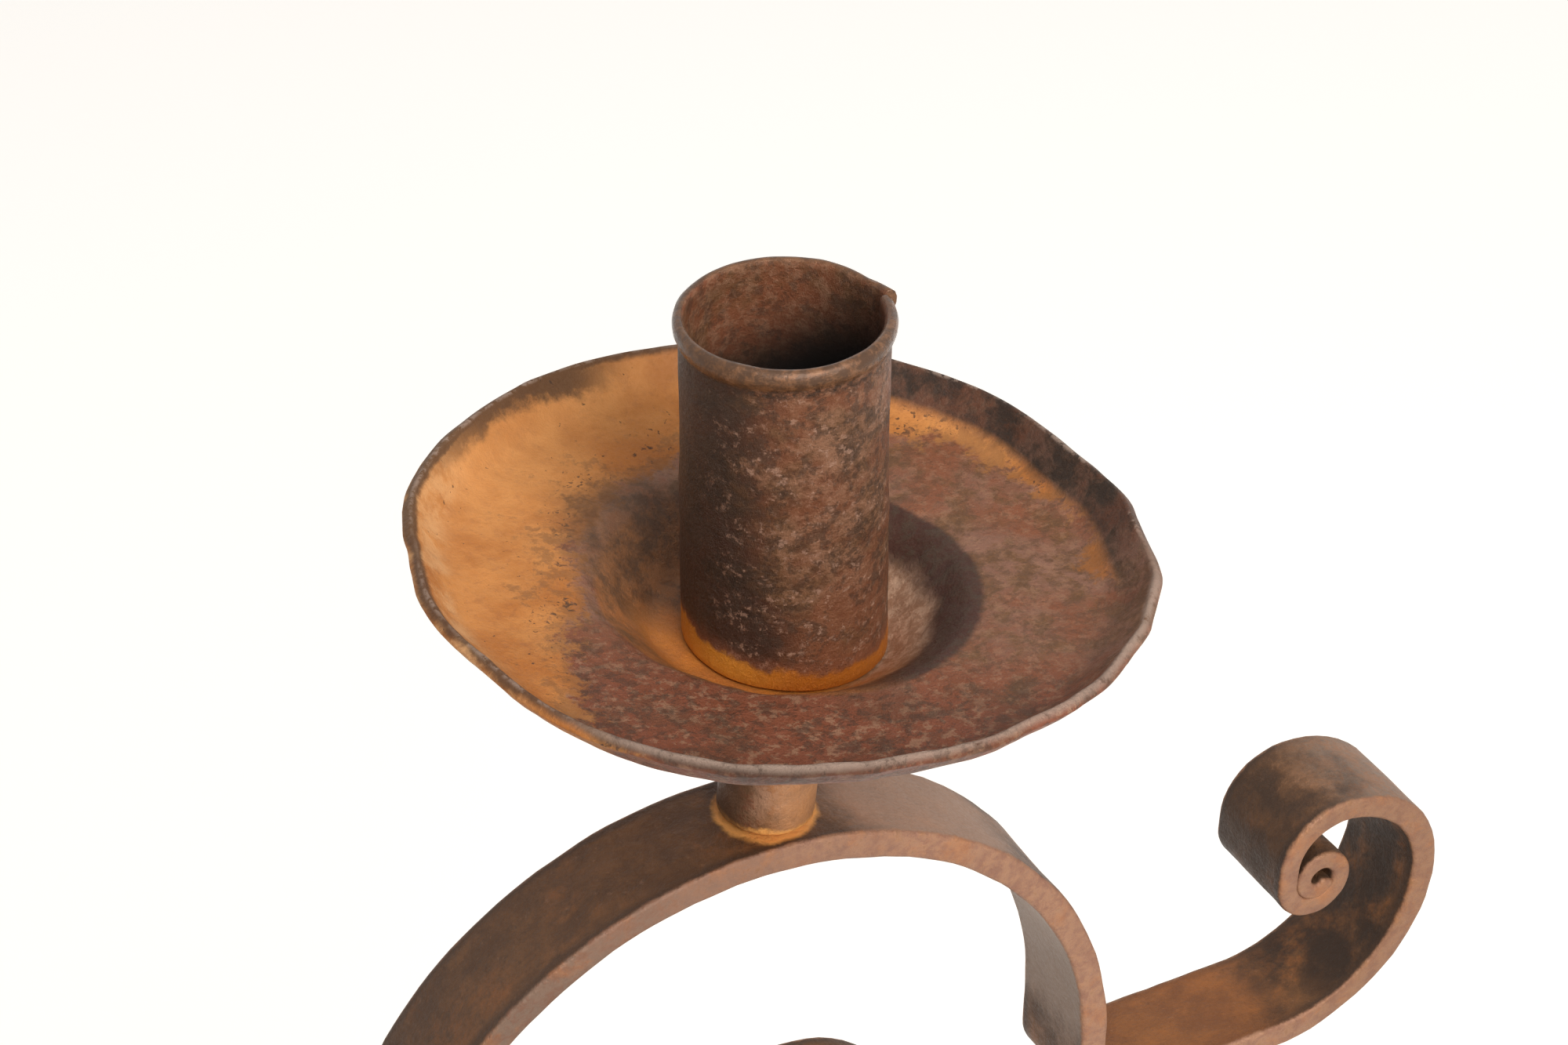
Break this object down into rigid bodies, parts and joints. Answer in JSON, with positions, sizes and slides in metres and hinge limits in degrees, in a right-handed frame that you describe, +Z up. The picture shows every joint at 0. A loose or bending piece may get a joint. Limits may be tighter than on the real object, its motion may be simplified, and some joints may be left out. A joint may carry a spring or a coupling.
{
  "type": "table candelabra",
  "caption": "Forged flat-bar table candelabra with arched arms, rolled scroll ends, round drip pans and tube cups on riveted legs.",
  "frame": {"origin": "on the table, under the column's axis", "axes": "+X along the right arm, +Z up the column, -Y the front"},
  "size_m": [0.5014, 0.2076, 0.4329],
  "materials": {
    "iron_bar": "dark forged iron with thin rust",
    "iron_sheet": "hammered sheet with orange and brown rust",
    "iron_round": "forged iron with rust"
  },
  "bodies": {
    "root": {"arm_left": "iron_bar", "arm_right": "iron_bar", "arm_rivet_1": "iron_round", "arm_rivet_2": "iron_round", "bracket_left": "iron_bar", "bracket_right": "iron_bar", "bracket_rivet_1": "iron_round", "bracket_rivet_2": "iron_round", "collar_left": "iron_bar", "collar_right": "iron_bar", "column": "iron_bar", "cup_floor_left": "iron_sheet", "cup_floor_middle": "iron_sheet", "cup_floor_right": "iron_sheet", "cup_left": "iron_sheet", "cup_middle": "iron_sheet", "cup_right": "iron_sheet", "front_leg_rivet_1": "iron_round", "front_leg_rivet_2": "iron_round", "leg_back": "iron_bar", "leg_front": "iron_bar", "leg_left": "iron_bar", "leg_right": "iron_bar", "pan_left": "iron_sheet", "pan_middle": "iron_sheet", "pan_right": "iron_sheet", "side_leg_rivet_1": "iron_round", "side_leg_rivet_2": "iron_round", "stem_left": "iron_round", "stem_right": "iron_round"}
  },
  "joints": []
}
